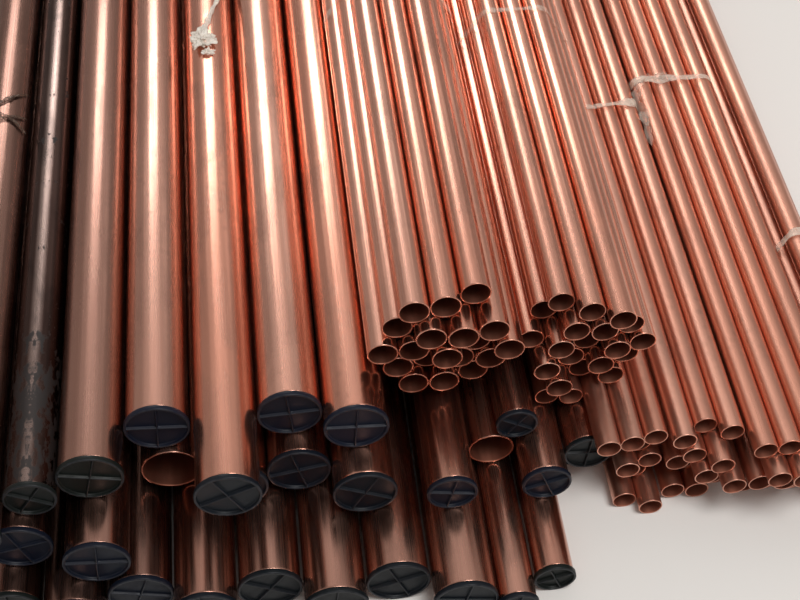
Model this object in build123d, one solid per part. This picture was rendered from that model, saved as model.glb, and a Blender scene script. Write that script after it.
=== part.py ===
from build123d import *
from collections import namedtuple
from functools import cache
from itertools import cycle
import math
import os

# A stack of straight copper tubes as it lies in a store, all lengthwise along Y:
# columns of large plugged tubes on the left, medium and slim plugged tubes beside them on the floor,
# two tied bundles on top of those, and small tubes, loose and in tied bundles, on the floor at the right.
# Millimetres, +Z up. The front ends, at the low end of Y, stand unevenly, as stock is pushed in by hand.

# Tube sizes: outside diameter and wall
tube_length = 3000.0
large_diameter, large_wall = 54.0, 1.8
medium_diameter, medium_wall = 42.0, 1.5
slim_diameter, slim_wall = 35.0, 1.4
first_bundle_diameter, first_bundle_wall = 27.0, 1.2
second_bundle_diameter, second_bundle_wall = 24.0, 1.1
small_diameter, small_wall = 22.0, 1.1

# End plugs: a flange with a ribbed cross, on a stub that goes into the bore
plug_overhang = 1.5
plug_flange_thickness = 5.0
plug_recess_depth = 3.0
plug_rim_width = 2.5
plug_rib_width = 2.0
plug_stub_length = 14.0

# How far the cross on each plug is turned, in degrees: plugs are pushed in at any angle
plug_turns = [12, -20, 5, 33, -8, 18, -40, 2, 28, -12, 40, 6, -15, 4, -3, -25, 5, 15, -10]

# Film ties round the bundles
tie_thickness = 1.5
tie_width = 7.0

# Clearances
clearance = 0.3
plug_room = plug_overhang + clearance
tie_room = tie_thickness + 2 * clearance

# Sideways drift of the rows against the grooves that they lie in
middle_row_drift = 5.7
top_row_drift = -3.5
medium_row_drift = -4.0
second_bundle_drift = -1.0
bundle_nesting = 4.0

# Extra gaps in a row of large tubes, from right to left
middle_row_gaps = [0.0, 0.0, 0.0, 8.0, 9.0]
top_row_gaps = [0.0, 0.0, 2.4, 0.0, 0.0, 0.0]

# How far each front end stands back from the foremost one, in the order of laying
floor_row_setbacks = [5, 30, 12, 36, 20, 43, 26, 40]
middle_row_setbacks = [91, 121, 110, 131, 49, 69]
top_row_setbacks = [122, 143, 65, 141, 97, 85, 54]
slim_setbacks = [0, 23, 153]
medium_setbacks = [83, 134, 96, 125]
valley_setback = 139
loose_setbacks = [96, 86, 116, 103, 112, 118, 110, 105, 101, 162, 164]
first_bundle_setbacks = [
    167, 166, 176,
    168, 177, 173, 169,
    165, 166, 154, 172, 158,
    174, 158, 156, 161,
    169, 172, 184,
]
second_bundle_setbacks = [
    154, 175, 163,
    158, 172, 159, 170,
    179, 164, 173, 158, 165,
    194, 166, 163, 169,
    183, 169, 157,
]
left_bundle_setbacks = [100, 98, 111, 118, 99, 105, 87, 74, 98, 84, 101, 116, 106]
middle_bundle_setbacks = [99, 100, 97, 88, 88, 85, 92, 75, 73, 80, 72, 64, 61, 72, 83, 84, 87, 90]
right_bundle_setbacks = [69, 82, 61, 77, 66, 88, 73]

# Ties of each bundle: how far the first is behind the foremost front end, the second past the middle
# of the foremost tube, and the last before that tube's rear end
first_bundle_ties = (615.0, 30.0, 420.0)
second_bundle_ties = (572.0, -35.0, 460.0)
left_bundle_ties = (536.0, 20.0, 470.0)
middle_bundle_ties = (572.0, -25.0, 440.0)
right_bundle_ties = (324.0, -75.0, 410.0)

# Rows of each bundle, from the lowest to the highest
round_bundle_rows = [3, 4, 5, 4, 3]
left_bundle_rows = [3, 2, 3, 2, 3]
middle_bundle_rows = [4, 3, 4, 3, 4]
right_bundle_rows = [1, 2, 1, 2, 1]

# Whether each tube of these rows, in the order of laying, still has its plugs
middle_row_plugged = [True, True, True, False, True, True]
medium_row_plugged = [True, False, True, True]

# What lies in the top row, in the order of laying
top_row_kinds = ["large", "large", "large", "large", "large", "medium", "large"]

# A laid tube: centre in the end view, radius, wall, setback of the front end and the room it needs beside it
Lying = namedtuple("Lying", "x z radius wall setback room")
laid = []


def rest_height(x, radius, room, floor_room):
    """Centre height of a tube let down at x until it meets the floor or a tube already laid."""
    height = radius + floor_room
    for other in laid:
        reach = radius + other.radius + max(room, other.room)
        sideways = abs(x - other.x)
        if sideways < reach - 1e-6:
            height = max(height, other.z + math.sqrt(reach**2 - sideways**2))
    return height


def lay_on_floor(x, diameter, wall, setback):
    """Lays one plugged tube on the floor, where it stands on the flanges of its plugs."""
    placed = Lying(x, diameter / 2 + plug_overhang, diameter / 2, wall, setback, plug_room)
    laid.append(placed)
    return placed


def lay_plugged(x, diameter, wall, setback):
    """Lays one tube, with room for the flanges of the plugs, on what lies under x."""
    radius = diameter / 2
    placed = Lying(x, rest_height(x, radius, plug_room, plug_overhang), radius, wall, setback, plug_room)
    laid.append(placed)
    return placed


def lay_bare(x, diameter, wall, setback):
    """Lays one tube without plugs on what lies under x."""
    radius = diameter / 2
    placed = Lying(x, rest_height(x, radius, clearance, 0), radius, wall, setback, clearance)
    laid.append(placed)
    return placed


def floor_step(diameter, next_diameter):
    """Sideways distance between two plugged tubes that lie side by side on the floor."""
    reach = (diameter + next_diameter) / 2 + plug_room
    rise = (diameter - next_diameter) / 2
    return math.sqrt(reach**2 - rise**2)


def bundle_places(rows, diameter):
    """Centres of nested rows about the bundle's middle, sideways and above its lowest row."""
    pitch = diameter + clearance
    row_rise = pitch * math.sqrt(3) / 2
    return [
        ((number - (count - 1) / 2) * pitch, level * row_rise)
        for level, count in enumerate(rows)
        for number in range(count)
    ]


def outline(places):
    """Corners of the taut outline round the given centres, counterclockwise from the leftmost."""
    def side(points):
        chain = []
        for x, z in points:
            while len(chain) > 1:
                (x1, z1), (x2, z2) = chain[-2:]
                if (x2 - x1) * (z - z1) - (z2 - z1) * (x - x1) > 1e-6:
                    break
                chain.pop()
            chain.append((x, z))
        return chain[:-1]

    points = sorted(places)
    return side(points) + side(points[::-1])


def height_over(corners, x, other, reach):
    """Lowest height of an outline, let down at x, whose edges all stay clear of another tube."""
    needed = 0.0
    for (x1, z1), (x2, z2) in zip(corners, corners[1:] + corners[:1]):
        length = math.hypot(x2 - x1, z2 - z1)
        along_x, along_z = (x2 - x1) / length, (z2 - z1) / length
        if along_x > 1e-6:
            off_x, off_z = other.x - x - x1, other.z - z1
            height = off_z + (reach - off_x * along_z) / along_x
            if 0 <= off_x * along_x + (off_z - height) * along_z <= length:
                needed = max(needed, height)
    return needed


def lay_bundle(x, rows, diameter, wall, setbacks):
    """Lets a tied bundle down at x, with room for its film ties, and returns its tubes."""
    radius = diameter / 2
    places = bundle_places(rows, diameter)
    corners = outline(places)
    film = tie_thickness + clearance
    base = max(rest_height(x + across, radius, tie_room, film) - above for across, above in corners)
    for other in laid:
        base = max(base, height_over(corners, x, other, radius + other.radius + tie_room))
    tubes = [
        Lying(x + across, base + above, radius, wall, setback, tie_room)
        for (across, above), setback in zip(places, setbacks)
    ]
    laid.extend(tubes)
    return tubes


def half_width(rows, diameter):
    """Half the width of a bundle's widest row."""
    return ((max(rows) - 1) * (diameter + clearance) + diameter) / 2


def end_plane(x, z, y):
    """Sketch plane facing the front, at a tube's centre line."""
    return Plane(origin=(x, y, z), x_dir=(1, 0, 0), z_dir=(0, -1, 0))


@cache
def tube_shape(radius, wall):
    """A plain drawn tube, cut square at both ends, along +Y from the origin."""
    section = Circle(radius) - Circle(radius - wall)
    return extrude(end_plane(0, 0, 0) * section, amount=-tube_length)


@cache
def plug_shape(radius, wall):
    """An end plug at the origin: stub towards +Y, flange towards -Y with a cross of ribs in its recess."""
    flange = radius + plug_overhang
    recess = Circle(flange - plug_rim_width)
    recess -= Rectangle(2 * flange, plug_rib_width)
    recess -= Rectangle(plug_rib_width, 2 * flange)
    body = extrude(Circle(flange), amount=plug_flange_thickness)
    recess_plane = Plane.XY.offset(plug_flange_thickness - plug_recess_depth)
    body -= extrude(recess_plane * recess, amount=plug_recess_depth)
    body += extrude(Circle(radius - wall - clearance), amount=-(plug_stub_length + clearance))
    return end_plane(0, 0, 0) * body


def tube(lying):
    """A laid tube."""
    return Pos(lying.x, lying.setback, lying.z) * tube_shape(lying.radius, lying.wall)


def front_plug(lying, turn):
    """The plug in a laid tube's front end, with its cross turned."""
    place = Pos(lying.x, lying.setback - clearance, lying.z)
    return place * Rot(0, turn, 0) * plug_shape(lying.radius, lying.wall)


def rear_plug(lying, turn):
    """The plug in a laid tube's rear end, with its cross turned."""
    place = Pos(lying.x, lying.setback + tube_length + clearance, lying.z)
    return place * Rot(0, 0, 180) * Rot(0, turn, 0) * plug_shape(lying.radius, lying.wall)


def plugs(lyings):
    """The plugs in the front and rear ends of several laid tubes."""
    front = [front_plug(one, turn) for one, turn in zip(lyings, cycle(plug_turns))]
    rear = [rear_plug(one, turn) for one, turn in zip(lyings, cycle(plug_turns[::-1]))]
    return front + rear


def ties(tubes, places):
    """The film ties of one bundle: taut bands round its outline."""
    corners = Polygon(*outline([(one.x, one.z) for one in tubes]), align=None)
    inner = offset(corners, tubes[0].radius + clearance)
    outer = offset(corners, tubes[0].radius + clearance + tie_thickness)
    band = extrude(end_plane(0, 0, 0) * (outer - inner), amount=-tie_width)
    behind_front, past_middle, before_rear = places
    along = [behind_front, tube_length / 2 + past_middle, tube_length - before_rear]
    return [Pos(0, y, 0) * band for y in along]


# Large tubes: the floor row, from right to left
large_pitch = large_diameter + plug_room
floor_row = [
    lay_on_floor(-number * large_pitch, large_diameter, large_wall, setback)
    for number, setback in enumerate(floor_row_setbacks)
]

# Large tubes: the middle row lies in the floor row's grooves
middle_row = []
x = floor_row[1].x - large_pitch / 2 + middle_row_drift
for setback, gap in zip(middle_row_setbacks, middle_row_gaps + [0.0]):
    middle_row.append(lay_plugged(x, large_diameter, large_wall, setback))
    x -= large_pitch + gap

# Top row: large tubes above the middle row, with one medium tube among them
large_and_medium = {"large": (large_diameter, large_wall), "medium": (medium_diameter, medium_wall)}
top_row = []
x = middle_row[0].x + top_row_drift
for kind, setback, gap in zip(top_row_kinds, top_row_setbacks, [0.0] + top_row_gaps):
    diameter, wall = large_and_medium[kind]
    if top_row:
        x -= top_row[-1].radius + diameter / 2 + plug_room + gap
    top_row.append(lay_plugged(x, diameter, wall, setback))
top_medium = [one for one, kind in zip(top_row, top_row_kinds) if kind == "medium"]
top_large = [one for one, kind in zip(top_row, top_row_kinds) if kind == "large"]

# Slim tubes on the floor, to the right of the large ones
slim_row = []
x = floor_row[0].x + floor_step(large_diameter, slim_diameter)
for setback in slim_setbacks:
    slim_row.append(lay_on_floor(x, slim_diameter, slim_wall, setback))
    x += slim_diameter + plug_room

# Medium tubes in a row: the first on the last large tube, the others on the slim ones
medium_pitch = medium_diameter + plug_room
medium_start = slim_row[0].x + medium_row_drift - medium_pitch
medium_places = [medium_start + number * medium_pitch for number in range(len(medium_setbacks))]
medium_row = [
    lay_plugged(place, medium_diameter, medium_wall, setback)
    for place, setback in zip(medium_places, medium_setbacks)
]

# A slim tube lies in the groove in the middle of that row
valley_place = (medium_places[1] + medium_places[2]) / 2
valley_tube = lay_plugged(valley_place, slim_diameter, slim_wall, valley_setback)

# Loose small tubes: two nested columns against the medium tubes, and three side by side on top of those
small_pitch = small_diameter + clearance
left_column = medium_row[-1].x + (medium_diameter + small_diameter) / 2 + plug_room
right_column = left_column + small_pitch
between_columns = left_column + small_pitch / 2
loose_places = [left_column, right_column, between_columns] * 2
loose_places += [right_column] + [left_column - number * small_pitch for number in range(4)]
loose_tubes = [
    lay_bare(place, small_diameter, small_wall, setback)
    for place, setback in zip(loose_places, loose_setbacks)
]

# Tied bundles of small tubes, side by side on the floor
left_bundle_x = right_column + small_diameter / 2 + tie_room + half_width(left_bundle_rows, small_diameter)
left_bundle = lay_bundle(
    left_bundle_x, left_bundle_rows, small_diameter, small_wall, left_bundle_setbacks
)
middle_bundle_x = (
    left_bundle_x
    + half_width(left_bundle_rows, small_diameter)
    + tie_room
    + half_width(middle_bundle_rows, small_diameter)
)
middle_bundle = lay_bundle(
    middle_bundle_x, middle_bundle_rows, small_diameter, small_wall, middle_bundle_setbacks
)
right_bundle_x = (
    middle_bundle_x
    + half_width(middle_bundle_rows, small_diameter)
    + tie_room
    + half_width(right_bundle_rows, small_diameter)
)
right_bundle = lay_bundle(
    right_bundle_x, right_bundle_rows, small_diameter, small_wall, right_bundle_setbacks
)

# Round bundles on top: the second over the last medium tube, the first leans on it
second_bundle_x = medium_row[-1].x + second_bundle_drift
second_bundle = lay_bundle(
    second_bundle_x, round_bundle_rows, second_bundle_diameter, second_bundle_wall, second_bundle_setbacks
)
first_bundle_x = (
    second_bundle_x
    - half_width(round_bundle_rows, second_bundle_diameter)
    - tie_room
    - half_width(round_bundle_rows, first_bundle_diameter)
    + bundle_nesting
)
first_bundle = lay_bundle(
    first_bundle_x, round_bundle_rows, first_bundle_diameter, first_bundle_wall, first_bundle_setbacks
)

# Plugged tubes
plugged_middle_row = [one for one, plugged in zip(middle_row, middle_row_plugged) if plugged]
plugged_medium_row = [one for one, plugged in zip(medium_row, medium_row_plugged) if plugged]
plugged_large = floor_row + plugged_middle_row + top_large
plugged_medium = plugged_medium_row + top_medium
plugged_slim = slim_row + [valley_tube]

# Every node with its solids
nodes = {
    "large_tubes_floor_row": [tube(one) for one in floor_row],
    "large_tubes_middle_row": [tube(one) for one in middle_row],
    "large_tubes_top_row": [tube(one) for one in top_large],
    "medium_tube_top_row": [tube(one) for one in top_medium],
    "medium_tubes_under_bundles": [tube(one) for one in medium_row],
    "slim_tubes_floor_row": [tube(one) for one in slim_row],
    "slim_tube_under_bundles": [tube(valley_tube)],
    "round_bundle_left_tubes": [tube(one) for one in first_bundle],
    "round_bundle_right_tubes": [tube(one) for one in second_bundle],
    "loose_small_tubes": [tube(one) for one in loose_tubes],
    "small_bundle_left_tubes": [tube(one) for one in left_bundle],
    "small_bundle_middle_tubes": [tube(one) for one in middle_bundle],
    "small_bundle_right_tubes": [tube(one) for one in right_bundle],
    "large_plugs": plugs(plugged_large),
    "medium_plugs": plugs(plugged_medium),
    "slim_plugs": plugs(plugged_slim),
    "round_bundle_left_ties": ties(first_bundle, first_bundle_ties),
    "round_bundle_right_ties": ties(second_bundle, second_bundle_ties),
    "small_bundle_left_ties": ties(left_bundle, left_bundle_ties),
    "small_bundle_middle_ties": ties(middle_bundle, middle_bundle_ties),
    "small_bundle_right_ties": ties(right_bundle, right_bundle_ties),
}

# The origin is the middle of the stack's underside
box = Compound(children=[solid for solids in nodes.values() for solid in solids]).bounding_box()
shift = Pos(-box.center().X, -box.center().Y, -box.min.Z)

if __name__ == "__main__":
    os.makedirs("parts", exist_ok=True)
    for name, solids in nodes.items():
        export_step(shift * Compound(children=solids), "parts/" + name + ".step")
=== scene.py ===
"""Copper tube stack: smooth drawn tubes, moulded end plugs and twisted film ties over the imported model."""
import math

import bpy
import numpy as np
from mathutils import Matrix, Vector


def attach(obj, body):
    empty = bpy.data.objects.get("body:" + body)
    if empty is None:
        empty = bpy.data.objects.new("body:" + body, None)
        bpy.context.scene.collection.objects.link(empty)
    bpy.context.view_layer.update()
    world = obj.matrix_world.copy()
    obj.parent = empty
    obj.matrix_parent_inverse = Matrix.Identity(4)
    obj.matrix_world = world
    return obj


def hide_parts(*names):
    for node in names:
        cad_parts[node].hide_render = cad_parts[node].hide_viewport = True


bl_info = {
    "name": "Copper tube stack",
    "version": (1, 0, 0),
    "blender": (4, 5, 0),
    "location": "View3D > Sidebar > Copper stack",
    "description": "Builds the tubes, plugs and film ties of a stack of copper tubes",
    "category": "Add Mesh",
}

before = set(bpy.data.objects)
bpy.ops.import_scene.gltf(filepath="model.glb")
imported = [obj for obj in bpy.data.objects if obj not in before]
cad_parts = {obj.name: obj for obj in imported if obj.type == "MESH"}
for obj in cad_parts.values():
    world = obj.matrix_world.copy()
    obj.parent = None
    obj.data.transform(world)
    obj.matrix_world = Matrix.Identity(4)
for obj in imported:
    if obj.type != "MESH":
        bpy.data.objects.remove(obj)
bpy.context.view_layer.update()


def mesh_points(thing):
    """Vertices of an object's mesh as one array, and its edges as pairs of vertex numbers."""
    points = np.empty(len(thing.data.vertices) * 3)
    thing.data.vertices.foreach_get("co", points)
    edges = np.empty(len(thing.data.edges) * 2, dtype=np.int64)
    thing.data.edges.foreach_get("vertices", edges)
    return points.reshape(-1, 3), edges.reshape(-1, 2)


def solids_in(node):
    """Points of each separate solid of a node. Points at one place, to 0.01 mm, are one, and each edge hands on the
    lower label of its two ends until nothing changes."""
    points, edges = mesh_points(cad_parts[node])
    hundredths = np.round(points * 1e5).astype(np.int64)
    _, first, merged = np.unique(hundredths, axis=0, return_index=True, return_inverse=True)
    edges = merged.ravel()[edges]
    labels = np.arange(len(first))
    while True:
        lowest = np.minimum(labels[edges[:, 0]], labels[edges[:, 1]])
        handed = labels.copy()
        np.minimum.at(handed, edges[:, 0], lowest)
        np.minimum.at(handed, edges[:, 1], lowest)
        handed = handed[handed]
        if np.array_equal(handed, labels):
            break
        labels = handed
    places = points[first]
    return [places[labels == label] for label in np.unique(labels)]


def tubes_in(node):
    """Rows of (x, z, front y, rear y, outer radius, inner radius) of a node's tubes, from their points."""
    rows = []
    for points in solids_in(node):
        low, high = points.min(0), points.max(0)
        x, z = (low[0] + high[0]) / 2, (low[2] + high[2]) / 2
        from_axis = np.hypot(points[:, 0] - x, points[:, 2] - z)
        rows.append((x, z, low[1], high[1], from_axis.max(), from_axis.min()))
    return np.array(sorted(rows))


def plugs_in(node):
    """Rows of (x, z, face y, outward sign, flange radius, stub radius, turn of the cross) of a node's plugs. The cross
    is turned by the direction of a corner between two ribs, less an eighth of a turn."""
    level, between_ribs = 1e-4, 3e-3
    rows = []
    for points in solids_in(node):
        low, high = points.min(0), points.max(0)
        x, z = (low[0] + high[0]) / 2, (low[2] + high[2]) / 2
        off = points[:, [0, 2]] - (x, z)
        from_axis = np.hypot(off[:, 0], off[:, 1])
        flange = from_axis > from_axis.max() - level
        outward = -1 if points[flange, 1].mean() < (low[1] + high[1]) / 2 else 1
        face = low[1] if outward < 0 else high[1]
        back = low[1] if outward > 0 else high[1]
        stub = from_axis[np.abs(points[:, 1] - back) < level].max()
        crossing = off[(np.abs(points[:, 1] - face) < level) & (from_axis < between_ribs)][0]
        turn = math.atan2(crossing[1], crossing[0]) - math.pi / 4
        rows.append((x, z, face, outward, from_axis.max(), stub, turn))
    return np.array(sorted(rows))


def new_piece(name, vertices, faces, material, slot, node, layers=None, uv=None):
    """Puts vertices and faces, an array or a list with caps, into a smooth mesh object that rides on the root, in place
    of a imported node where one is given."""
    mesh = bpy.data.meshes.new(name)
    mesh.from_pydata(vertices.tolist(), [], faces if isinstance(faces, list) else faces.tolist())
    mesh.polygons.foreach_set("use_smooth", np.ones(len(faces), dtype=bool))
    for layer, values in (layers or {}).items():
        attribute = mesh.attributes.new(layer, "FLOAT", "POINT")
        attribute.data.foreach_set("value", np.asarray(values, dtype=np.float32))
    if uv is not None:
        corner = np.empty(len(mesh.loops), dtype=np.int64)
        mesh.loops.foreach_get("vertex_index", corner)
        layer = mesh.uv_layers.new(name="around_along")
        layer.data.foreach_set("uv", uv[corner].astype(np.float32).ravel())
    mesh.update()
    piece = bpy.data.objects.new(name, mesh)
    bpy.context.scene.collection.objects.link(piece)
    mesh.materials.append(material)
    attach(piece, "root")
    if node:
        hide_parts(node)


def grid_faces(rows, columns, close_rows=False):
    """Quads of a grid of rows by columns, closed across the columns, and across the rows where asked."""
    last = rows if close_rows else rows - 1
    row, column = np.meshgrid(np.arange(last), np.arange(columns), indexing="ij")
    after_row, after_column = (row + 1) % rows, (column + 1) % columns
    corners = [row * columns + column, row * columns + after_column, after_row * columns + after_column]
    corners.append(after_row * columns + column)
    return np.stack(corners, axis=-1).reshape(-1, 4)


def capped_grid(rows, columns):
    """Quads of a grid closed across its columns and turned inside out, with a cap on its first and last row."""
    caps = [list(range(columns)), list(range((rows - 1) * columns, rows * columns))[::-1]]
    return grid_faces(rows, columns)[:, ::-1].tolist() + caps


def smooth_step(value, low, high):
    """0 below low, 1 above high, and 3t^2 - 2t^3 between."""
    t = np.clip((value - low) / (high - low), 0, 1)
    return t * t * (3 - 2 * t)


def tube_profile(length, outer, inner, rounding):
    """Closed section of a tube wall, as (along, radius): outer wall, rounded rims and bore. A point on both walls a
    little behind each rim keeps the shading of the walls straight."""
    quarter = np.linspace(0, np.pi / 2, 4)
    hold = 4 * rounding
    dip, drop = rounding * np.sin(quarter), rounding * np.cos(quarter)
    front_outer = np.stack([rounding - dip, outer - rounding + drop], axis=1)
    front_inner = np.stack([rounding - drop, inner + rounding - dip], axis=1)
    front = np.concatenate([[[hold, outer]], front_outer, front_inner, [[hold, inner]]])
    rear = front[::-1] * [-1, 1] + [length, 0]
    return np.concatenate([front, rear])


def tube_surfaces(rows, segments, seed, age_and_shade=0.0):
    """Tubes as surfaces of revolution: (x + r cos t, y + along, z + r sin t), t from the underside round, with r
    shrinking by a hair twice per turn, as drawn tube is never quite round. Each tube gets tube_age_and_shade, which
    browns it: age_and_shade is painted shade given for a whole row, the tubes towards the left of the stack get more
    painted shade, and a random part gives each tube its own tarnish. The uv is the distance from the crest, and the
    distance along. Returns vertices, faces, layers and uv."""
    chance = np.random.default_rng(seed)
    turn = -np.pi / 2 + np.arange(segments) / segments * 2 * np.pi
    rim_rounding, out_of_round, between_patterns = 0.3, 0.0012, 0.7
    vertices, faces, uvs = [], [], []
    tones, bores, ages_and_shade = [], [], []
    for number, (x, z, front, rear, outer, inner) in enumerate(rows):
        wall = outer - inner
        profile = tube_profile(rear - front, outer, inner, rim_rounding * wall)
        along, radius = profile[:, :1], profile[:, 1:]
        swell = 1 - out_of_round * (1 + np.cos(2 * turn + chance.uniform(0, 6)))
        sideways, upwards = radius * swell * np.cos(turn), radius * swell * np.sin(turn)
        grid = np.stack([x + sideways, front + along + 0 * turn, z + upwards], axis=-1)
        size = grid[..., 0].size
        faces.append(grid_faces(len(profile), segments, close_rows=True) + number * size)
        vertices.append(grid.reshape(-1, 3))
        around = np.abs(np.arange(segments) / segments - 0.5) * 2 * np.pi * outer + number * between_patterns
        uv = np.stack([around + 0 * along, along + 0 * around + chance.uniform(0, 9)], axis=-1)
        uvs.append(uv.reshape(-1, 2))
        tones.append(np.full(size, chance.uniform(0, 1)))
        # painted shade: tubes towards the left of the stack are browned more, where the light falls off
        left_shade = 0.75 * smooth_step(-x, 0.19, 0.28) + 0.6 * smooth_step(-x, 0.32, 0.38)
        ages_and_shade.append(np.full(size, age_and_shade + left_shade + chance.uniform(0, 0.22)))
        inside = (radius < (outer + inner) / 2 - 0.2 * wall) + 0 * turn
        bores.append(inside.ravel())
    layers = {"tube_tone": tones, "in_bore": bores, "tube_age_and_shade": ages_and_shade}
    layers = {name: np.concatenate(values) for name, values in layers.items()}
    return np.concatenate(vertices), np.concatenate(faces), layers, np.concatenate(uvs)


def cross_angles(radius, edges, spread):
    """Angles of a ring's points, four times: the rib's centre line, its edges at asin(edge / radius) but never past the
    middle of the quarter, and evenly spread points between two ribs."""
    half = len(edges)
    apart = 0.02
    most = np.pi / 4 - apart * (half - np.arange(half))
    near = np.minimum(np.arcsin(np.clip(edges / radius, 0, 1)), most)
    between = near[-1] + (np.pi / 2 - 2 * near[-1]) * np.arange(1, spread + 1) / (spread + 1)
    quarter = np.concatenate([[0], near, between, np.pi / 2 - near[::-1]])
    return (quarter + np.pi / 2 * np.arange(4)[:, None]).ravel()


def plug_surfaces(rows, seed):
    """Moulded plugs as rings (r, depth behind the face). On the face the depth is that of the recess, raised over the
    ribs, where the nearer of |u| and |v| is small, and at the rim, with rounded edges. Behind it come the flange's
    side, its back and the grooved stub. Returns vertices, faces and layers."""
    chance = np.random.default_rng(seed)
    recess, rim_width, rim_edge = 3.0e-3, 2.5e-3, 0.3e-3
    rib_height, rib_crown = 0.88, 0.07
    rib_lines = np.array([0.45, 0.75, 1.0, 1.25]) * 1e-3
    between_ribs = 5
    vertices, faces, tones, raised_highlight = [], [], [], []
    first = 0
    for x, z, face, outward, flange, stub, turn in rows:
        rim = flange - rim_width
        in_recess = np.array([0.05, 0.9, 1.8, 3.0, 6.0, 0.45 * flange * 1e3, 0.7 * flange * 1e3]) * 1e-3
        at_rim = rim + np.array([-1.6, -0.7, -0.25, 0.0, 0.15, 0.45, 0.9]) * 1e-3
        at_edge = flange + np.array([-1.1, -0.7, -0.3, -0.08]) * 1e-3
        on_face = np.concatenate([in_recess, at_rim, at_edge])
        behind = [(flange, 1.0), (flange, 2.4), (flange, 4.2), (flange - 0.0003, 4.7), (flange - 0.0009, 5.0)]
        behind += [(stub + 0.0004, 5.0), (stub, 5.4), (stub, 8.0), (stub - 0.0004, 8.6), (stub - 0.0004, 11.0)]
        behind += [(stub, 11.6), (stub, 15.0), (stub - 0.001, 17.5), (stub - 0.003, 19.3), (0.001, 19.3)]
        radius = np.concatenate([on_face, [r for r, _ in behind]])
        angles = [cross_angles(r, rib_lines, between_ribs) for r in on_face]
        angles = np.stack(angles + [cross_angles(flange, rib_lines, between_ribs)] * len(behind))
        radius = radius[:, None]
        u, v = radius * np.cos(angles), radius * np.sin(angles)
        nearer = np.minimum(np.abs(u), np.abs(v))
        rib = rib_height + rib_crown * (1 - smooth_step(nearer, 0.0, 0.5e-3)) - smooth_step(nearer, 0.5e-3, 1.1e-3)
        raised = np.maximum(rib, smooth_step(radius, rim - rim_edge, rim + rim_edge)).clip(0, 1)
        depth = recess * (1 - raised) + 0.45e-3 * smooth_step(radius, flange - 0.9e-3, flange) ** 2
        # crest: the rib crests and the rim, which are painted paler as a highlight
        crest = np.maximum((1 - smooth_step(nearer, 0.3e-3, 0.7e-3)) * (radius < rim), raised == 1)
        crest[len(on_face) :] = 0
        depth[len(on_face) :] = np.array([millimetres for _, millimetres in behind])[:, None] * 1e-3
        turned_u = u * np.cos(turn) - v * np.sin(turn)
        turned_v = u * np.sin(turn) + v * np.cos(turn)
        grid = np.stack([x + turned_u, face - outward * depth, z + turned_v], axis=-1)
        rings, count = grid.shape[:2]
        quads = grid_faces(rings, count) + first
        caps = [np.arange(count)[::-1] + first, (rings - 1) * count + np.arange(count) + first]
        if outward < 0:
            quads = quads[:, ::-1]
            caps = [cap[::-1] for cap in caps]
        faces += quads.tolist() + [cap.tolist() for cap in caps]
        vertices.append(grid.reshape(-1, 3))
        tones.append(np.full(rings * count, chance.uniform(0, 1)))
        raised_highlight.append(crest.ravel())
        first += rings * count
    layers = {"plug_tone": np.concatenate(tones), "raised_highlight": np.concatenate(raised_highlight)}
    return np.concatenate(vertices), faces, layers


def taut_loop(centres, reach, count):
    """Taut closed line round tubes in the end view: for each direction the farthest centre plus reach times that
    direction, spaced evenly by length. Returns count points (x, z), as many outward directions, and the length."""
    directions = 1441
    angle = np.linspace(-np.pi / 2, 3 * np.pi / 2, directions)
    away = np.stack([np.cos(angle), np.sin(angle)], axis=1)
    line = centres[np.argmax(away @ centres.T, axis=1)] + reach * away
    run = np.concatenate([[0], np.cumsum(np.hypot(*np.diff(line, axis=0).T))])
    even = np.linspace(0, run[-1], count, endpoint=False)
    place = np.stack([np.interp(even, run, line[:, side]) for side in (0, 1)], axis=1)
    outward = np.stack([np.interp(even, run, away[:, side]) for side in (0, 1)], axis=1)
    return place, outward / np.linalg.norm(outward, axis=1)[:, None], run[-1]


section_points = 18


def film_section(count, run, width, thick, twist, chance):
    """Crumpled film drawn into a strand, as offsets across its flat side and out of it, in count sections along run: an
    ellipse of half sizes width and thick, whose radius has creases cos(m t + k s) of several m and k. It is wider and
    narrower in long swells, and turned by twist turns per metre with slow swings."""
    s = np.linspace(0, run, count)[:, None]
    t = np.arange(section_points) / section_points * 2 * np.pi
    creases = np.ones_like(s)
    for waves, size in ((2, 0.10), (3, 0.13), (5, 0.10), (7, 0.07)):
        pull = 2 * np.pi * np.round(run * chance.uniform(25, 90)) / run
        creases = creases + size * np.cos(waves * t + pull * s + chance.uniform(0, 6))
    swell = np.ones_like(s)
    for bulges in (1, 2, 3, 5, 9):
        swell = swell + 0.13 * np.cos(2 * np.pi * bulges * s / run + chance.uniform(0, 6))
    swing = 0.6 * np.sin(2 * np.pi * 3 * s / run + chance.uniform(0, 6))
    turned = 2 * np.pi * np.round(twist * run) * s / run + swing
    flat, out = width * swell * creases * np.cos(t), thick * creases * np.sin(t)
    across = flat * np.cos(turned) - out * np.sin(turned)
    off = flat * np.sin(turned) + out * np.cos(turned)
    return across, off


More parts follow.
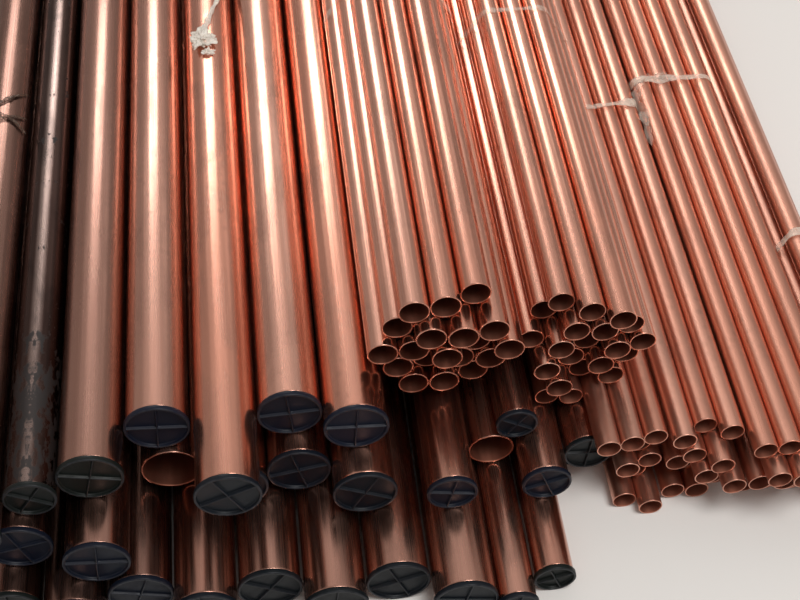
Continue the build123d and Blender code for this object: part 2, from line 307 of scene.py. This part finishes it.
def film_ties(bundle, node, seed, width, twist):
    """Film strands round a bundle, one for each tie of the node: film_section carried along taut_loop, its inner side
    always on the tubes. How far it stands off them nears a limit by 1 - exp(-off / limit), and the limit is smaller at
    the sides and underneath, where the tubes have neighbours. Returns vertices and faces."""
    chance = np.random.default_rng(seed)
    count, slack, thick, askew = 300, 0.2e-3, 0.9e-3, 0.0035
    on_top, less_below = 0.0026, 0.0016
    tubes = tubes_in(bundle)
    reach = tubes[0, 4] + slack
    vertices, faces = [], []
    first = 0
    for points in sorted(solids_in(node), key=lambda points: points[:, 1].min()):
        middle = (points[:, 1].min() + points[:, 1].max()) / 2
        place, outward, run = taut_loop(tubes[:, :2], reach, count)
        across, off = film_section(count, run, width, thick, twist, chance)
        off = off - off.min(1, keepdims=True)
        limit = on_top - less_below * smooth_step(0.75 - outward[:, 1:], 0, 0.5)
        off = limit * (1 - np.exp(-off / limit))
        once_round = np.linspace(0, 2 * np.pi, count, endpoint=False)
        slope = askew * np.sin(once_round + chance.uniform(0, 6))[:, None]
        x = place[:, :1] + outward[:, :1] * off
        z = place[:, 1:] + outward[:, 1:] * off
        grid = np.stack([x, middle + slope + across, z], axis=-1)
        faces.append(grid_faces(count, section_points, close_rows=True)[:, ::-1] + first)
        vertices.append(grid.reshape(-1, 3))
        first += grid[..., 0].size
    return np.concatenate(vertices), np.concatenate(faces)


def film_tail(points, widths, thick, seed):
    """A crumpled end of film along a Catmull-Rom line through points: film_section on the line's own frame, with half
    widths as given at the points, closed to a small tip at both ends. Returns vertices and faces."""
    chance = np.random.default_rng(seed)
    count, twist, tip = 121, 18, 0.12
    points = np.asarray(points, dtype=float)
    knots = np.linspace(0, len(points) - 1, count)
    part = np.clip(knots.astype(int), 0, len(points) - 2)
    u = (knots - part)[:, None]
    padded = np.concatenate([[2 * points[0] - points[1]], points, [2 * points[-1] - points[-2]]])
    p0, p1, p2, p3 = (padded[part + shift] for shift in range(4))
    squared, cubed = 2 * p0 - 5 * p1 + 4 * p2 - p3, 3 * p1 - p0 - 3 * p2 + p3
    line = 0.5 * (2 * p1 + (p2 - p0) * u + squared * u**2 + cubed * u**3)
    run = np.linalg.norm(np.diff(line, axis=0), axis=1).sum()
    across, off = film_section(count, run, 1.0, thick, twist, chance)
    half = np.interp(knots, np.arange(len(points)), widths)[:, None]
    ends = np.minimum(1, np.minimum(knots, len(points) - 1 - knots) * 4 + tip)[:, None]
    ahead = np.gradient(line, axis=0)
    ahead /= np.linalg.norm(ahead, axis=1)[:, None]
    level = np.cross(ahead, (0, 0, 1.0))
    level /= np.linalg.norm(level, axis=1)[:, None]
    above = np.cross(level, ahead)
    sideways, upwards = (across * half * ends)[..., None], (off * half * ends)[..., None]
    grid = line[:, None] + level[:, None] * sideways + above[:, None] * upwards
    return grid.reshape(-1, 3), capped_grid(count, section_points)


def film_wad(centre, half_sizes, seed):
    """A crumpled wad of film: an ellipsoid whose radius folds by 1/2 - |sin(k . d + p)| for a few vectors k, where d is
    the direction and p bends the folds. They are sharp where the sine is nought. Returns vertices and faces."""
    chance = np.random.default_rng(seed)
    rings, count, from_pole = 60, 96, 0.06
    tall = np.linspace(from_pole, np.pi - from_pole, rings)[:, None]
    around = np.arange(count) / count * 2 * np.pi
    sides = [np.sin(tall) * np.cos(around), np.sin(tall) * np.sin(around), np.cos(tall) + 0 * around]
    direction = np.stack(sides, axis=-1)
    radius = np.full(direction.shape[:2], 0.8)
    for strength, size in ((0.26, 2.6), (0.2, 4.5), (0.13, 8.0), (0.08, 13.0)):
        for _ in range(2):
            heading = chance.normal(size=3)
            heading *= size / np.linalg.norm(heading)
            bend = 0.5 * np.sin(direction[..., [1, 2, 0]] @ heading + chance.uniform(0, 6))
            radius += strength * (0.5 - np.abs(np.sin(direction @ heading + bend + chance.uniform(0, 6))))
    grid = np.asarray(centre) + direction * radius[..., None] * np.asarray(half_sizes)
    return grid.reshape(-1, 3), capped_grid(rings, count)


def together(*surfaces):
    """Several pairs of vertices and faces as one."""
    vertices, faces, first = [], [], 0
    for points, corners in surfaces:
        vertices.append(points)
        faces += [[corner + first for corner in face] for face in corners]
        first += len(points)
    return np.concatenate(vertices), faces


def gathered_end():
    """The gathered end of the middle small bundle's front tie: a knot on its top row's first tube, and a strand with a
    wad that comes down into the groove beside the left small bundle and lies along it."""
    left, middle = tubes_in("small_bundle_left_tubes"), tubes_in("small_bundle_middle_tubes")
    tie = sorted(solids_in("small_bundle_middle_ties"), key=lambda points: points[:, 1].min())[0]
    y = (tie[:, 1].min() + tie[:, 1].max()) / 2
    corner = middle[np.lexsort((middle[:, 0], -np.round(middle[:, 1], 4)))][0]
    beside = left[np.lexsort((-left[:, 0], -np.round(left[:, 1], 4)))][0]
    x, z, radius = corner[0], corner[1], corner[4]
    groove = (x + beside[0]) / 2
    lying = z + math.sqrt((radius + 0.0045) ** 2 - (x - groove) ** 2)
    route = [
        (x + 0.012, y, z + radius + 0.003),
        (x - 0.002, y - 0.004, lying + 0.005),
        (groove, y - 0.026, lying + 0.001),
        (groove + 0.001, y - 0.060, lying),
        (groove - 0.001, y - 0.105, lying),
    ]
    strand = film_tail(route, [0.003, 0.005, 0.0045, 0.006, 0.003], 0.55, 71)
    knot = film_wad((x + 0.020, y, z + radius + 0.0035), (0.011, 0.006, 0.0042), 72)
    wad = film_wad((groove + 0.001, y - 0.062, lying + 0.0012), (0.0065, 0.013, 0.0045), 73)
    return together(strand, knot, wad)


def wad_on_tube():
    """A wad of film on the crest of a large tube, with a smaller one in front of it and a neck that runs back over the
    tube's right side."""
    top = tubes_in("large_tubes_top_row")
    carrier_x = -0.1775
    x, z, _, _, radius, _ = top[np.argsort(np.abs(top[:, 0] - carrier_x))][0]
    lean, over = math.radians(-10), radius + 0.0035
    seat = (x + over * math.sin(lean), -0.972, z + over * math.cos(lean))
    wad = film_wad(seat, (0.017, 0.021, 0.0072), 74)
    small = film_wad((seat[0] + 0.005, seat[1] - 0.022, seat[2] - 0.0015), (0.0085, 0.007, 0.0042), 75)
    on_tube = radius + 0.0026
    course = ((-0.12, -0.962), (0.02, -0.945), (0.22, -0.925), (0.48, -0.900), (0.78, -0.872), (1.0, -0.850))
    across = [(x + on_tube * math.sin(angle), y, z + on_tube * math.cos(angle)) for angle, y in course]
    neck = film_tail(across, [0.005, 0.0032, 0.0026, 0.0028, 0.0030, 0.002], 0.7, 76)
    return together(wad, small, neck)


def strands_on_tube():
    """Three thin dark strands of film over the large tube at the left, each lying askew by its slope."""
    x, z, _, _, radius, _ = tubes_in("large_tubes_top_row")[0]
    on_tube = radius + 0.002
    angles = np.linspace(-1.5, 1.0, 8)
    half_widths = [0.0012, 0.0018, 0.0013, 0.0019, 0.0014, 0.0018, 0.0013, 0.0010]
    strands = []
    for seed, start, slope in ((81, -1.040, 0.022), (82, -1.058, -0.020), (83, -1.066, 0.010)):
        lie = [(x + on_tube * math.sin(a), start + slope * a, z + on_tube * math.cos(a)) for a in angles]
        strands.append(film_tail(lie, half_widths, 0.8, seed))
    return together(*strands)


def node_group(name, inputs, outputs):
    """An empty shader group with the given inputs (name, kind, default) and outputs (name, kind)."""
    group = bpy.data.node_groups.new(name, "ShaderNodeTree")
    for label, kind, default in inputs:
        socket = group.interface.new_socket(label, in_out="INPUT", socket_type=kind)
        if default is not None:
            socket.default_value = default
    for label, kind in outputs:
        group.interface.new_socket(label, in_out="OUTPUT", socket_type=kind)
    return group, group.nodes.new("NodeGroupInput"), group.nodes.new("NodeGroupOutput")


def joined(tree, kind, settings=None, **links):
    """A node of the given kind with settings made and inputs joined: values are set, and sockets are linked. An input
    is named, or is i0, i1 and so on by its number."""
    node = tree.nodes.new(kind)
    for label, value in (settings or {}).items():
        setattr(node, label, value)
    for label, value in links.items():
        numbered = label[0] == "i" and label[1:].isdigit()
        socket = node.inputs[int(label[1:]) if numbered else label]
        if isinstance(value, bpy.types.NodeSocket):
            tree.links.new(value, socket)
        else:
            socket.default_value = value
    return node


def mix_colours(tree, factor, first, second):
    """Output of a colour mix. Each colour is a socket or plain red, green and blue."""
    first, second = (colour if isinstance(colour, bpy.types.NodeSocket) else (*colour, 1) for colour in (first, second))
    return joined(tree, "ShaderNodeMix", {"data_type": "RGBA"}, i0=factor, i6=first, i7=second).outputs[2]


def mapped(tree, value, low, high, to_low=0.0, to_high=1.0, kind="LINEAR"):
    """Output of a clamped range change, straight or a smooth step."""
    settings = {"interpolation_type": kind}
    return joined(tree, "ShaderNodeMapRange", settings, i0=value, i1=low, i2=high, i3=to_low, i4=to_high).outputs[0]


def maths(tree, operation, first, second=0.5, third=0.5):
    """Output of a maths node."""
    return joined(tree, "ShaderNodeMath", {"operation": operation}, i0=first, i1=second, i2=third).outputs[0]


def stretched(tree, vector, factors):
    """Output of a vector times factors, one for each direction."""
    return joined(tree, "ShaderNodeVectorMath", {"operation": "MULTIPLY"}, i0=vector, i1=factors).outputs[0]


def noise(tree, vector, scale, detail, roughness=0.5, distortion=0.0):
    """Output of a noise texture."""
    inputs = {"Vector": vector, "Scale": scale, "Detail": detail, "Roughness": roughness, "Distortion": distortion}
    return joined(tree, "ShaderNodeTexNoise", None, **inputs).outputs[0]


def layer_value(tree, name):
    """Output of one of the mesh's own layers."""
    return joined(tree, "ShaderNodeAttribute", {"attribute_name": name}).outputs["Fac"]


def placed_group(tree, name, **inputs):
    """Outputs of a shared shader group with its inputs joined."""
    return joined(tree, "ShaderNodeGroup", {"node_tree": groups[name]}, **inputs).outputs


def bare_material(name):
    """A new material, its node tree, its shader, and the object's own coordinates."""
    material = bpy.data.materials.new(name)
    material.use_nodes = True
    tree = material.node_tree
    return material, tree, tree.nodes["Principled BSDF"], tree.nodes.new("ShaderNodeTexCoord").outputs["Object"]


def raise_bumps(tree, shader, height, strength, distance):
    """Joins a height to the shader's normal."""
    bump = joined(tree, "ShaderNodeBump", None, Strength=strength, Distance=distance, Height=height)
    tree.links.new(bump.outputs[0], shader.inputs["Normal"])


def drawn_streaks():
    """Lengthwise marks of the drawing die: noise that is fine across the tube and long along it, and broader bands."""
    group, inward, outward = node_group(
        "drawn streaks",
        [
            ("Surface", "NodeSocketVector", None),
            ("Fineness", "NodeSocketFloat", 900.0),
            ("Length", "NodeSocketFloat", 0.5),
        ],
        [("Streaks", "NodeSocketFloat"), ("Bands", "NodeSocketFloat")],
    )
    surface = inward.outputs["Surface"]
    stretch = joined(group, "ShaderNodeCombineXYZ", None, X=inward.outputs["Fineness"], Z=1.0)
    group.links.new(maths(group, "DIVIDE", 1.0, inward.outputs["Length"]), stretch.inputs["Y"])
    streaks = noise(group, stretched(group, surface, stretch.outputs[0]), 1.0, 3.0, 0.6)
    bands = noise(group, stretched(group, surface, (90.0, 0.8, 1.0)), 1.0, 2.0)
    group.links.new(mapped(group, streaks, 0.3, 0.7), outward.inputs["Streaks"])
    group.links.new(mapped(group, bands, 0.35, 0.65), outward.inputs["Bands"])
    return group


def handling_marks():
    """Finger smudges, dried drops and broad worn patches, on object coordinates, as masks from 0 to 1."""
    group, inward, outward = node_group(
        "handling marks",
        [("Place", "NodeSocketVector", None), ("Size", "NodeSocketFloat", 26.0)],
        [("Smudges", "NodeSocketFloat"), ("Drops", "NodeSocketFloat"), ("Patches", "NodeSocketFloat")],
    )
    place = inward.outputs["Place"]
    smeared = stretched(group, place, (1.0, 0.35, 1.0))
    smudges = noise(group, smeared, inward.outputs["Size"], 5.0, 0.62, 0.8)
    drops = joined(group, "ShaderNodeTexVoronoi", {"feature": "F1"}, Vector=place, Scale=85.0, Randomness=1.0)
    round_drops = mapped(group, drops.outputs["Distance"], 0.34, 0.2)
    where = mapped(group, noise(group, place, 7.0, 2.0), 0.52, 0.66)
    patches = noise(group, smeared, 5.5, 3.0, 0.55)
    group.links.new(mapped(group, smudges, 0.46, 0.68), outward.inputs["Smudges"])
    group.links.new(maths(group, "MULTIPLY", round_drops, where), outward.inputs["Drops"])
    group.links.new(mapped(group, patches, 0.42, 0.66), outward.inputs["Patches"])
    return group


def copper(name, bright, deep, brown, tarnish, shine):
    """Drawn copper: the colour moves between a bright and a deep tone from tube to tube and along it, browner by
    tube_age_and_shade, which is partly a random tarnish and partly painted shade on the lower rows and the left of the
    stack, and browner where it was handled; the bore is dull and dark. Tarnish is how brown the patches go, and shine
    is the roughness that the streaks vary about."""
    material, tree, shader, place = bare_material(name)
    surface = joined(tree, "ShaderNodeUVMap", {"uv_map": "around_along"}).outputs[0]
    tone, bore, age_and_shade = (layer_value(tree, layer) for layer in ("tube_tone", "in_bore", "tube_age_and_shade"))
    streaks = placed_group(tree, "streaks", Surface=surface)
    marks = placed_group(tree, "marks", Place=place)
    colour = mix_colours(tree, tone, bright, deep)
    colour = mix_colours(tree, maths(tree, "MULTIPLY", streaks["Bands"], 0.35), colour, deep)
    # painted shade: tube_age_and_shade browns the lower rows and the left of the stack, with a random tarnish on top
    colour = mix_colours(tree, maths(tree, "MULTIPLY", age_and_shade, 0.95), colour, brown)
    # painted shade: the tubes furthest left are darkened further towards a deep brown
    darkest_shade = mapped(tree, age_and_shade, 1.0, 1.5, 0.0, 0.6)
    colour = mix_colours(tree, darkest_shade, colour, [part * 0.3 for part in brown])
    colour = mix_colours(tree, maths(tree, "MULTIPLY", marks["Patches"], tarnish), colour, brown)
    colour = mix_colours(tree, maths(tree, "MULTIPLY", marks["Smudges"], 0.28 + 0.5 * tarnish), colour, brown)
    spotted = maths(tree, "MULTIPLY", marks["Drops"], 0.12)
    colour = mix_colours(tree, spotted, colour, [part * 0.6 for part in brown])
    dull_bore = (0.44, 0.18, 0.12)
    tree.links.new(mix_colours(tree, bore, colour, dull_bore), shader.inputs["Base Color"])
    shader.inputs["Metallic"].default_value = 1.0
    rough = mapped(tree, streaks["Streaks"], 0, 1, shine - 0.05, shine + 0.06)
    for mask, rougher in ((marks["Smudges"], 0.06), (marks["Patches"], 0.04), (bore, 0.25), (age_and_shade, 0.02)):
        rough = maths(tree, "MULTIPLY_ADD", mask, rougher, rough)
    tree.links.new(rough, shader.inputs["Roughness"])
    raise_bumps(tree, shader, maths(tree, "ADD", streaks["Bands"], streaks["Streaks"]), 0.10, 0.00004)
    return material


def stained_copper(name, brown, painted_highlight, soot):
    """Copper that has gone dark with years: brown all over, with a painted highlight along its crest, and sooty in long
    patches that dull its gloss, most of them a little behind the front end."""
    material, tree, shader, place = bare_material(name)
    surface = joined(tree, "ShaderNodeUVMap", {"uv_map": "around_along"}).outputs[0]
    streaks = placed_group(tree, "streaks", Surface=surface)
    marks = placed_group(tree, "marks", Place=place, Size=34.0)
    stain = noise(tree, stretched(tree, surface, (110.0, 45.0, 1.0)), 1.0, 5.0, 0.65)
    along = joined(tree, "ShaderNodeSeparateXYZ", None, Vector=place).outputs["Y"]
    near_front = mapped(tree, along, -1.30, -1.42, kind="SMOOTHSTEP")
    often = maths(tree, "SUBTRACT", near_front, mapped(tree, along, -1.50, -1.52))
    sooty = mapped(tree, maths(tree, "MULTIPLY_ADD", often, 0.16, stain), 0.62, 0.68)
    from_crest = joined(tree, "ShaderNodeSeparateXYZ", None, Vector=surface).outputs["X"]
    # painted highlight: a pale line along the tube's crest, in the colour painted_highlight
    crest = mapped(tree, from_crest, 0.007, 0.0015, kind="SMOOTHSTEP")
    darker = (brown[0] * 0.6, brown[1] * 0.55, brown[2] * 0.55)
    colour = mix_colours(tree, streaks["Bands"], brown, darker)
    colour = mix_colours(tree, crest, colour, painted_highlight)
    colour = mix_colours(tree, maths(tree, "MULTIPLY", marks["Smudges"], 0.5), colour, soot)
    colour = mix_colours(tree, maths(tree, "MULTIPLY", sooty, 0.94), colour, soot)
    dark_bore = (0.22, 0.09, 0.06)
    colour = mix_colours(tree, layer_value(tree, "in_bore"), colour, dark_bore)
    tree.links.new(colour, shader.inputs["Base Color"])
    tree.links.new(maths(tree, "MULTIPLY_ADD", sooty, -0.7, 1.0), shader.inputs["Metallic"])
    glossy = mapped(tree, streaks["Streaks"], 0, 1, 0.20, 0.30)
    tree.links.new(maths(tree, "MULTIPLY_ADD", sooty, 0.30, glossy), shader.inputs["Roughness"])
    raise_bumps(tree, shader, maths(tree, "MULTIPLY_ADD", sooty, 1.5, streaks["Streaks"]), 0.25, 0.00005)
    return material


def moulded_plastic(navy, greenish):
    """Dark polyethylene of the plugs: each plug has its own tone, with a painted highlight paler on the rib crests and
    the rim that scuffs break up, with dust in soft patches and a faint grain from the mould."""
    material, tree, shader, place = bare_material("moulded_plug_plastic")
    marks = placed_group(tree, "marks", Place=place, Size=60.0)
    grain = noise(tree, place, 1600.0, 2.0)
    scuffs = noise(tree, place, 240.0, 4.0, 0.7)
    highlight_pale, dust = (0.032, 0.034, 0.042), (0.040, 0.030, 0.026)
    colour = mix_colours(tree, layer_value(tree, "plug_tone"), navy, greenish)
    # painted highlight: the rib crests and the rim are painted paler, broken up by scuffs
    painted_highlight = maths(tree, "MULTIPLY", layer_value(tree, "raised_highlight"), mapped(tree, scuffs, 0.40, 0.62, 0.15, 0.75))
    colour = mix_colours(tree, painted_highlight, colour, highlight_pale)
    colour = mix_colours(tree, maths(tree, "MULTIPLY", marks["Smudges"], 0.10), colour, dust)
    tree.links.new(colour, shader.inputs["Base Color"])
    shader.inputs["Specular IOR Level"].default_value = 0.2
    rough = maths(tree, "MULTIPLY_ADD", marks["Smudges"], 0.18, mapped(tree, scuffs, 0.3, 0.7, 0.30, 0.42))
    tree.links.new(rough, shader.inputs["Roughness"])
    raise_bumps(tree, shader, maths(tree, "MULTIPLY_ADD", scuffs, 1.5, grain), 0.25, 0.00005)
    return material


def stretch_film(name, tint, least, most, creased, fold=(0.97, 0.90, 0.80)):
    """Film drawn into a strand: its tint covers by least to most where folds lie on each other, and each sharp crease
    covers by creased in the fold's colour."""
    material, tree, shader, place = bare_material(name)
    folds = noise(tree, place, 190.0, 3.0, 0.6, 1.6)
    crease = mapped(tree, maths(tree, "ABSOLUTE", maths(tree, "SUBTRACT", folds, 0.5)), 0.0, 0.09, 1.0, 0.0)
    milky = noise(tree, place, 75.0, 2.0)
    cover = mapped(tree, milky, 0.35, 0.65, least, most)
    alpha = maths(tree, "MAXIMUM", cover, maths(tree, "MULTIPLY", crease, creased))
    tree.links.new(mix_colours(tree, crease, tint, fold), shader.inputs["Base Color"])
    tree.links.new(alpha, shader.inputs["Alpha"])
    tree.links.new(mapped(tree, milky, 0.3, 0.7, 0.16, 0.34), shader.inputs["Roughness"])
    raise_bumps(tree, shader, crease, 0.6, 0.0004)
    return material


groups = {}
materials = {}


def make_materials():
    """Node groups and materials, made once and kept by name."""
    groups["streaks"] = drawn_streaks()
    groups["marks"] = handling_marks()
    settings = bpy.context.scene.copper_stack
    tones = settings.bright_copper, settings.deep_copper, settings.brown_copper
    film = settings.film_colour
    materials["large"] = copper("drawn_copper_large", *tones, tarnish=0.26, shine=0.21)
    materials["bundle"] = copper("drawn_copper_small", *tones, tarnish=0.16, shine=0.20)
    materials["small"] = copper("drawn_copper_thin", *tones, tarnish=0.16, shine=0.31)
    # The stained tube's painted_highlight is the pale colour of a painted highlight along its crest.
    materials["stained"] = stained_copper(
        "stained_copper", brown=(0.085, 0.052, 0.044), painted_highlight=(0.24, 0.175, 0.155), soot=(0.012, 0.009, 0.009)
    )
    materials["plug"] = moulded_plastic(settings.plug_colour, (0.006, 0.009, 0.008))
    materials["film"] = stretch_film("milky_stretch_film", film, 0.07, 0.52, 0.50)
    materials["clear"] = stretch_film("clear_stretch_film", film, 0.04, 0.25, 0.30)
    materials["wisp"] = stretch_film("thin_stretch_film", film, 0.02, 0.15, 0.22)
    materials["crumpled"] = stretch_film("crumpled_stretch_film", (0.92, 0.88, 0.80), 0.60, 0.95, 1.0)
    materials["dark"] = stretch_film(
        "dark_stretch_film", (0.060, 0.038, 0.030), 0.35, 0.80, 0.6, fold=(0.20, 0.13, 0.09)
    )


def colour_setting(name, description, default):
    """A colour that a user can change."""
    return bpy.props.FloatVectorProperty(
        name=name, description=description, subtype="COLOR", default=default, min=0, max=1
    )


class CopperStackSettings(bpy.types.PropertyGroup):
    """Colours and finishes of the stack."""

    bright_copper: colour_setting("Bright copper", "Base colour of the brightest tubes", (0.90, 0.50, 0.38))
    deep_copper: colour_setting("Deep copper", "Base colour of the reddest tubes", (0.83, 0.39, 0.275))
    # Brown copper is also the colour of the painted shade on the lower rows and the left of the stack.
    brown_copper: colour_setting("Brown copper", "Base colour of handled, tarnished copper", (0.34, 0.19, 0.15))
    plug_colour: colour_setting("Plug", "Base colour of the moulded end plugs", (0.006, 0.009, 0.022))
    film_colour: colour_setting("Film", "Tint of the film between its creases", (0.95, 0.83, 0.69))
    floor_colour: colour_setting("Floor", "Colour of the plain floor", (0.80, 0.79, 0.77))
    around: bpy.props.IntProperty(name="Facets", description="Faces round each large tube", default=72, min=24, max=96)


class STACK_OT_large_tubes(bpy.types.Operator):
    """Large tubes of the floor, middle and top rows"""

    bl_idname = "stack.large_tubes"
    bl_label = "Large tubes"

    def execute(self, context):
        around = context.scene.copper_stack.around
        # Second number of each row: painted shade that browns the floor row most and the middle row less.
        seeds_and_shaded_ages = {
            "large_tubes_floor_row": (10, 0.45),
            "large_tubes_middle_row": (11, 0.15),
            "large_tubes_top_row": (2331, 0.0),
        }
        for node, (seed, age_and_shade) in seeds_and_shaded_ages.items():
            vertices, faces, layers, uv = tube_surfaces(tubes_in(node), around, seed, age_and_shade)
            new_piece(node + "_drawn", vertices, faces, materials["large"], "copper", node, layers, uv)
        return {"FINISHED"}


class STACK_OT_medium_tubes(bpy.types.Operator):
    """Medium and slim tubes"""

    bl_idname = "stack.medium_tubes"
    bl_label = "Medium and slim tubes"

    def execute(self, context):
        around = context.scene.copper_stack.around - 8
        finishes = {
            "medium_tube_top_row": "stained",
            "medium_tubes_under_bundles": "large",
            "slim_tubes_floor_row": "large",
            "slim_tube_under_bundles": "large",
        }
        # The 0.25 below is painted shade that browns the medium and slim tubes, most of which lie low in the stack.
        for seed, (node, finish) in enumerate(finishes.items(), 20):
            vertices, faces, layers, uv = tube_surfaces(tubes_in(node), around, seed, 0.25)
            new_piece(node + "_drawn", vertices, faces, materials[finish], "copper", node, layers, uv)
        return {"FINISHED"}


class STACK_OT_bundled_tubes(bpy.types.Operator):
    """Tubes of the bundles, and the loose small ones"""

    bl_idname = "stack.bundled_tubes"
    bl_label = "Bundled tubes"

    def execute(self, context):
        around = context.scene.copper_stack.around * 2 // 3
        finishes = {
            "round_bundle_left_tubes": "bundle",
            "round_bundle_right_tubes": "bundle",
            "loose_small_tubes": "small",
            "small_bundle_left_tubes": "small",
            "small_bundle_middle_tubes": "small",
            "small_bundle_right_tubes": "small",
        }
        for seed, (node, finish) in enumerate(finishes.items(), 30):
            vertices, faces, layers, uv = tube_surfaces(tubes_in(node), around, seed)
            new_piece(node + "_drawn", vertices, faces, materials[finish], "copper", node, layers, uv)
        return {"FINISHED"}


class STACK_OT_end_plugs(bpy.types.Operator):
    """Moulded plugs in the ends of the large, medium and slim tubes"""

    bl_idname = "stack.end_plugs"
    bl_label = "End plugs"

    def execute(self, context):
        for seed, node in enumerate(["large_plugs", "medium_plugs", "slim_plugs"], 50):
            vertices, faces, layers = plug_surfaces(plugs_in(node), seed)
            new_piece(node + "_moulded", vertices, faces, materials["plug"], "plug", node, layers)
        return {"FINISHED"}


class STACK_OT_film_ties(bpy.types.Operator):
    """Film round each bundle: thin twisted strands on the round bundles, and flatter bands on the small ones"""

    bl_idname = "stack.film_ties"
    bl_label = "Film ties"

    def execute(self, context):
        strand, band = ("clear", 3.0e-3, 4), ("film", 4.6e-3, 0)
        kinds = {
            "round_bundle_left": strand,
            "round_bundle_right": strand,
            "small_bundle_left": band,
            "small_bundle_middle": band,
            "small_bundle_right": band,
        }
        for seed, (bundle, (finish, width, twist)) in enumerate(kinds.items(), 60):
            vertices, faces = film_ties(bundle + "_tubes", bundle + "_ties", seed, width, twist)
            new_piece(bundle + "_film", vertices, faces, materials[finish], "film", bundle + "_ties")
        return {"FINISHED"}


class STACK_OT_film_scraps(bpy.types.Operator):
    """The gathered end of one tie, a wad of film on a large tube, and dark strands over the one at the left"""

    bl_idname = "stack.film_scraps"
    bl_label = "Film scraps"

    def execute(self, context):
        new_piece("gathered_tie_end", *gathered_end(), materials["wisp"], "film", None)
        new_piece("film_wad", *wad_on_tube(), materials["crumpled"], "film", None)
        new_piece("dark_film_strands", *strands_on_tube(), materials["dark"], "film", None)
        return {"FINISHED"}


class STACK_OT_stage(bpy.types.Operator):
    """Floor, lamps, surroundings and camera"""

    bl_idname = "stack.stage"
    bl_label = "Stage"

    def execute(self, context):
        scene = context.scene
        self.lay_floor(scene)
        self.hang_lamps(scene)
        self.set_camera(scene)
        scene.view_settings.view_transform = "Standard"
        return {"FINISHED"}

    def lay_floor(self, scene):
        """A plain square of floor."""
        half = 14.0
        mesh = bpy.data.meshes.new("floor")
        mesh.from_pydata([(-half, -half, 0), (half, -half, 0), (half, half, 0), (-half, half, 0)], [], [(0, 1, 2, 3)])
        floor = bpy.data.objects.new("floor", mesh)
        scene.collection.objects.link(floor)
        paint = bpy.data.materials.new("plain_floor")
        paint.use_nodes = True
        shader = paint.node_tree.nodes["Principled BSDF"]
        shader.inputs["Base Color"].default_value = (*scene.copper_stack.floor_colour, 1)
        shader.inputs["Roughness"].default_value = 0.9
        mesh.materials.append(paint)

    def hang_lamps(self, scene):
        """Pale surroundings, and soft lamps behind, above and in front, as (place, aim, size, power, tint)."""
        world = bpy.data.worlds.new("pale_surroundings")
        world.use_nodes = True
        background = world.node_tree.nodes["Background"]
        background.inputs["Color"].default_value = (0.95, 0.87, 0.82, 1)
        background.inputs["Strength"].default_value = 0.40
        scene.world = world
        heap, front = (0, -1.1, 0.1), (0, -1.3, 0.1)
        lamps = {
            "rear_key": ((-0.42, 1.92, 2.6), heap, (1.5, 0.45), 23, (1.0, 0.98, 0.96)),
            "rear_wide": ((0.0, 1.95, 2.6), heap, (5.0, 0.5), 6, (1.0, 0.98, 0.96)),
            "overhead_key": ((0.0, 0.5, 2.85), front, (1.9, 1.2), 1.2, (1.0, 0.98, 0.97)),
            "overhead_wide": ((0.0, 0.3, 2.9), front, (5.0, 1.6), 5, (1.0, 0.98, 0.97)),
            "front_overhead": ((0.8, -2.3, 2.9), front, (1.4, 1.2), 55, (1.0, 0.99, 0.97)),
        }
        for name, (place, aim, size, power, tint) in lamps.items():
            light = bpy.data.lights.new(name, "AREA")
            light.shape = "RECTANGLE"
            light.size, light.size_y = size
            light.energy = power
            light.color = tint
            holder = bpy.data.objects.new(name, light)
            holder.location = place
            holder.rotation_euler = (Vector(aim) - Vector(place)).to_track_quat("-Z", "Y").to_euler()
            scene.collection.objects.link(holder)

    def set_camera(self, scene):
        """The camera, from its place and its three directions."""
        lens = bpy.data.cameras.new("camera")
        lens.sensor_width = 36.0
        lens.lens = 63.0
        camera = bpy.data.objects.new("camera", lens)
        place = (-0.10936, -2.17635, 1.1134)
        right, up, ahead = (0.9934, -0.1149, 0.0), (0.0870, 0.7520, 0.6534), (0.0751, 0.6491, -0.7570)
        turn = Matrix([right, up, [-part for part in ahead]]).transposed()
        camera.matrix_world = Matrix.Translation(place) @ turn.to_4x4()
        scene.collection.objects.link(camera)
        scene.camera = camera


class STACK_PT_panel(bpy.types.Panel):
    """Lists the steps that build the stack"""

    bl_idname = "STACK_PT_panel"
    bl_label = "Copper tube stack"
    bl_space_type = "VIEW_3D"
    bl_region_type = "UI"
    bl_category = "Copper stack"

    def draw(self, context):
        for operator in operators:
            self.layout.operator(operator.bl_idname)
        for setting in CopperStackSettings.__annotations__:
            self.layout.prop(context.scene.copper_stack, setting)


operators = [STACK_OT_large_tubes, STACK_OT_medium_tubes, STACK_OT_bundled_tubes, STACK_OT_end_plugs]
operators += [STACK_OT_film_ties, STACK_OT_film_scraps, STACK_OT_stage]


def register():
    """Registers the settings, the operators and the panel."""
    for kind in [CopperStackSettings, *operators, STACK_PT_panel]:
        bpy.utils.register_class(kind)
    bpy.types.Scene.copper_stack = bpy.props.PointerProperty(type=CopperStackSettings)


def unregister():
    """Takes everything that register added away again."""
    del bpy.types.Scene.copper_stack
    for kind in [STACK_PT_panel, *reversed(operators), CopperStackSettings]:
        bpy.utils.unregister_class(kind)


def main():
    register()
    make_materials()
    bpy.ops.stack.large_tubes()
    bpy.ops.stack.medium_tubes()
    bpy.ops.stack.bundled_tubes()
    bpy.ops.stack.end_plugs()
    bpy.ops.stack.film_ties()
    bpy.ops.stack.film_scraps()
    bpy.ops.stack.stage()


if __name__ == "__main__":
    main()
